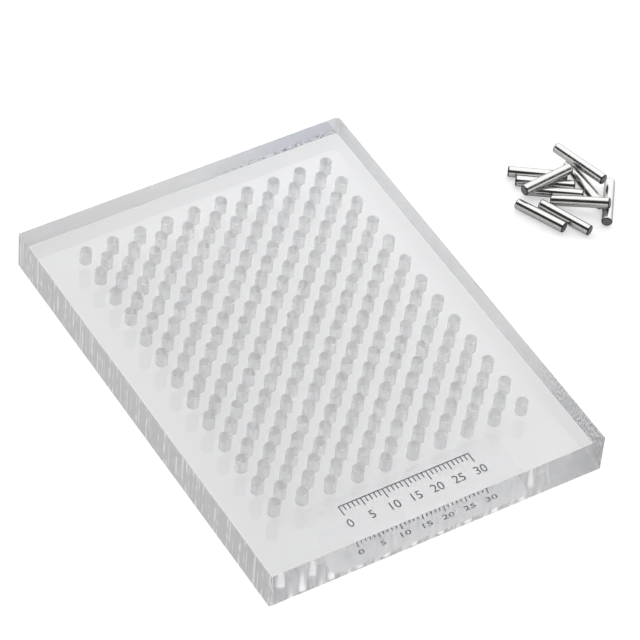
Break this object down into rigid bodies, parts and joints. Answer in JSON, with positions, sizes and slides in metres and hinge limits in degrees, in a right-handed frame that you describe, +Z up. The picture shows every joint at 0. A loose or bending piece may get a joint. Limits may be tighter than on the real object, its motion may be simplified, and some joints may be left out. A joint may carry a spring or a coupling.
{
  "type": "wire jig",
  "caption": "Thick clear drilled plate with a staggered field of blind holes and loose steel pegs, for bending craft wire into repeatable shapes.",
  "frame": {"origin": "centre of the plate's underside", "axes": "+X across the plate towards the heap of pegs, +Y along the plate away from its wide margin, +Z up out of the holes"},
  "size_m": [0.1236, 0.1028, 0.009],
  "materials": {
    "clear_acrylic": "polished clear sheet with drilled holes of a satin finish",
    "ground_steel": "ground and polished, with plain cut ends"
  },
  "bodies": {
    "jig_plate": {"jig_plate": "clear_acrylic"},
    "peg_1": {"peg_1": "ground_steel"},
    "peg_2": {"peg_2": "ground_steel"},
    "peg_3": {"peg_3": "ground_steel"},
    "peg_4": {"peg_4": "ground_steel"},
    "peg_5": {"peg_5": "ground_steel"},
    "peg_6": {"peg_6": "ground_steel"},
    "peg_7": {"peg_7": "ground_steel"},
    "peg_8": {"peg_8": "ground_steel"},
    "peg_9": {"peg_9": "ground_steel"},
    "peg_10": {"peg_10": "ground_steel"}
  },
  "joints": [
    {"name": "peg_1_draw", "type": "slide", "parent": "jig_plate", "child": "peg_1", "axis": [-0.8241, 0.5664, 0], "range_m": [0, 0.0126]},
    {"name": "peg_2_draw", "type": "slide", "parent": "jig_plate", "child": "peg_2", "axis": [-0.829, 0.5592, 0], "range_m": [0, 0.0126]},
    {"name": "peg_3_draw", "type": "slide", "parent": "jig_plate", "child": "peg_3", "axis": [-0.829, 0.5592, 0], "range_m": [0, 0.0126]},
    {"name": "peg_4_lift", "type": "slide", "parent": "jig_plate", "child": "peg_4", "axis": [0, 0, 1], "range_m": [0, 0.025]},
    {"name": "peg_5_draw", "type": "slide", "parent": "jig_plate", "child": "peg_5", "axis": [0.0349, 0.9994, 0], "range_m": [0, 0.0126]},
    {"name": "peg_6_lift", "type": "slide", "parent": "jig_plate", "child": "peg_6", "axis": [0, 0, 1], "range_m": [0, 0.025]},
    {"name": "peg_7_lift", "type": "slide", "parent": "jig_plate", "child": "peg_7", "axis": [0, 0, 1], "range_m": [0, 0.025]},
    {"name": "peg_8_lift", "type": "slide", "parent": "jig_plate", "child": "peg_8", "axis": [0, 0, 1], "range_m": [0, 0.025]},
    {"name": "peg_9_draw", "type": "slide", "parent": "jig_plate", "child": "peg_9", "axis": [0.5948, 0.8039, 0], "range_m": [0, 0.0126]},
    {"name": "peg_10_lift", "type": "slide", "parent": "jig_plate", "child": "peg_10", "axis": [0, 0, 1], "range_m": [0, 0.025]}
  ]
}
